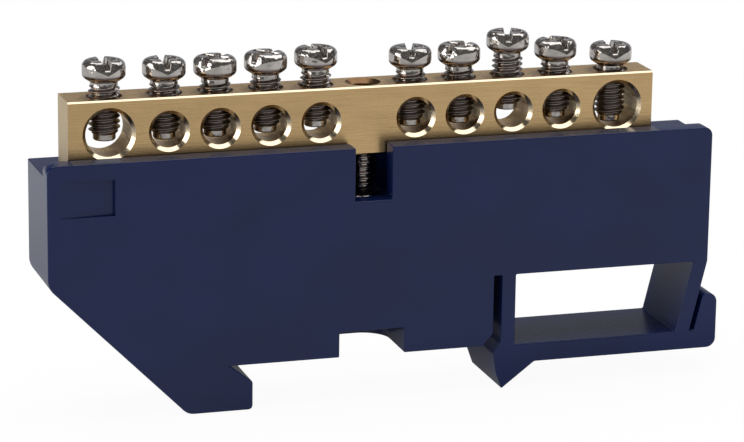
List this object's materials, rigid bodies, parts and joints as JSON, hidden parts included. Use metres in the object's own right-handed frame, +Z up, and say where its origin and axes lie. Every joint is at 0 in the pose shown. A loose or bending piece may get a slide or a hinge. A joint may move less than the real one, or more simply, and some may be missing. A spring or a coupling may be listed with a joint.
{
  "type": "neutral terminal bar",
  "caption": "Moulded rail holder with a sprung latch, carrying a drilled brass bar that clamps neutral wires with a screw over each wire hole.",
  "frame": {"origin": "on the rail seat, over the middle of the mounting rail, halfway through the holder's depth", "axes": "+X along the bar to the latch end, +Y from the front plate to the cored back, +Z up from the rail to the screws"},
  "size_m": [0.0901, 0.0118, 0.0464],
  "materials": {
    "holder_plastic": "dark blue moulded plastic, satin gloss",
    "bar_brass": "drawn brass, finely brushed along its length",
    "screw_plating": "bright nickel plated steel"
  },
  "bodies": {
    "bar_on_holder": {"holder": "holder_plastic", "terminal_bar": "bar_brass", "fixing_screw": "screw_plating"},
    "screw_1": {"terminal_screw_1": "screw_plating"},
    "screw_2": {"terminal_screw_2": "screw_plating"},
    "screw_3": {"terminal_screw_3": "screw_plating"},
    "screw_4": {"terminal_screw_4": "screw_plating"},
    "screw_5": {"terminal_screw_5": "screw_plating"},
    "screw_6": {"terminal_screw_6": "screw_plating"},
    "screw_7": {"terminal_screw_7": "screw_plating"},
    "screw_8": {"terminal_screw_8": "screw_plating"},
    "screw_9": {"terminal_screw_9": "screw_plating"},
    "screw_10": {"terminal_screw_10": "screw_plating"}
  },
  "joints": [
    {"name": "travel_1", "type": "slide", "parent": "bar_on_holder", "child": "screw_1", "axis": [0, 0, 1], "range_m": [-0.0013, 0.00417]},
    {"name": "travel_2", "type": "slide", "parent": "bar_on_holder", "child": "screw_2", "axis": [0, 0, 1], "range_m": [-0.0002, 0.00363]},
    {"name": "travel_3", "type": "slide", "parent": "bar_on_holder", "child": "screw_3", "axis": [0, 0, 1], "range_m": [-0.00015, 0.00368]},
    {"name": "travel_4", "type": "slide", "parent": "bar_on_holder", "child": "screw_4", "axis": [0, 0, 1], "range_m": [-0.00035, 0.00348]},
    {"name": "travel_5", "type": "slide", "parent": "bar_on_holder", "child": "screw_5", "axis": [0, 0, 1], "range_m": [-0.00065, 0.00318]},
    {"name": "travel_6", "type": "slide", "parent": "bar_on_holder", "child": "screw_6", "axis": [0, 0, 1], "range_m": [-0.0001, 0.00373]},
    {"name": "travel_7", "type": "slide", "parent": "bar_on_holder", "child": "screw_7", "axis": [0, 0, 1], "range_m": [-0.0001, 0.00373]},
    {"name": "travel_8", "type": "slide", "parent": "bar_on_holder", "child": "screw_8", "axis": [0, 0, 1], "range_m": [-0.0015, 0.00233]},
    {"name": "travel_9", "type": "slide", "parent": "bar_on_holder", "child": "screw_9", "axis": [0, 0, 1], "range_m": [-0.0001, 0.00373]},
    {"name": "travel_10", "type": "slide", "parent": "bar_on_holder", "child": "screw_10", "axis": [0, 0, 1], "range_m": [-0.00005, 0.00542]}
  ]
}
